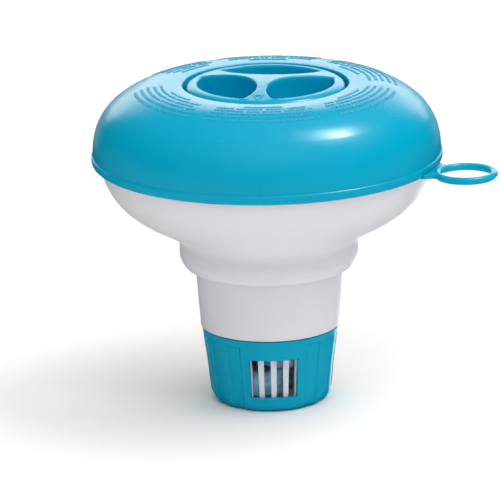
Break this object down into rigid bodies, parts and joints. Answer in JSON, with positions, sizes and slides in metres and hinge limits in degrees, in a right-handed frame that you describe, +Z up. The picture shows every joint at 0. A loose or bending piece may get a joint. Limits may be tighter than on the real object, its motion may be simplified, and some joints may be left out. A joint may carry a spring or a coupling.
{
  "type": "floating chlorine dispenser",
  "caption": "Floating pool chemical dispenser: blue dome float with tether ring, screw lid with finger pockets, white bowl and tube, and a turning vent collar with windows.",
  "frame": {"origin": "middle of the vent collar's flat underside, on the axis of the whole object", "axes": "+Z up through the tube, neck and lid; -Y is the side with the front vent window; +X to the right, towards the side with the tether ring"},
  "size_m": [0.2043, 0.178, 0.1681],
  "materials": {
    "blue_plastic": "satin",
    "lid_plastic": "satin",
    "vent_plastic": "satin",
    "white_plastic": "satin",
    "seal_rubber": "matte",
    "chlorine_tablet": "matte"
  },
  "bodies": {
    "float_body": {"dome_shell": "blue_plastic", "tether_ring": "blue_plastic", "bowl_shell": "white_plastic", "inner_canister": "white_plastic", "rim_seal": "seal_rubber", "canister_top_seal": "seal_rubber", "canister_bottom_seal": "seal_rubber", "tablet_01": "chlorine_tablet", "tablet_02": "chlorine_tablet", "tablet_03": "chlorine_tablet", "tablet_04": "chlorine_tablet", "tablet_05": "chlorine_tablet", "tablet_06": "chlorine_tablet", "tablet_07": "chlorine_tablet", "tablet_08": "chlorine_tablet", "tablet_09": "chlorine_tablet", "tablet_10": "chlorine_tablet", "tablet_11": "chlorine_tablet", "tablet_12": "chlorine_tablet"},
    "lid_seal": {"lid_seal": "seal_rubber"},
    "lid": {"lid": "lid_plastic"},
    "vent_collar": {"vent_collar": "vent_plastic"}
  },
  "joints": [
    {"name": "lid_rise", "type": "slide", "parent": "float_body", "child": "lid_seal", "axis": [0, 0, 1], "range_m": [0, 0.0401]},
    {"name": "lid_turn", "type": "hinge", "parent": "lid_seal", "child": "lid", "pos_m": [0, 0, 0.1608], "axis": [0, 0, 1], "range_deg": [0, 360]},
    {"name": "vent_collar_turn", "type": "hinge", "parent": "float_body", "child": "vent_collar", "pos_m": [0, 0, 0], "axis": [0, 0, 1], "range_deg": [0, 60]}
  ],
  "couplings": [
    {"joint": "lid_rise", "follows": "lid_turn", "m_per_rad": 0.0063662}
  ]
}
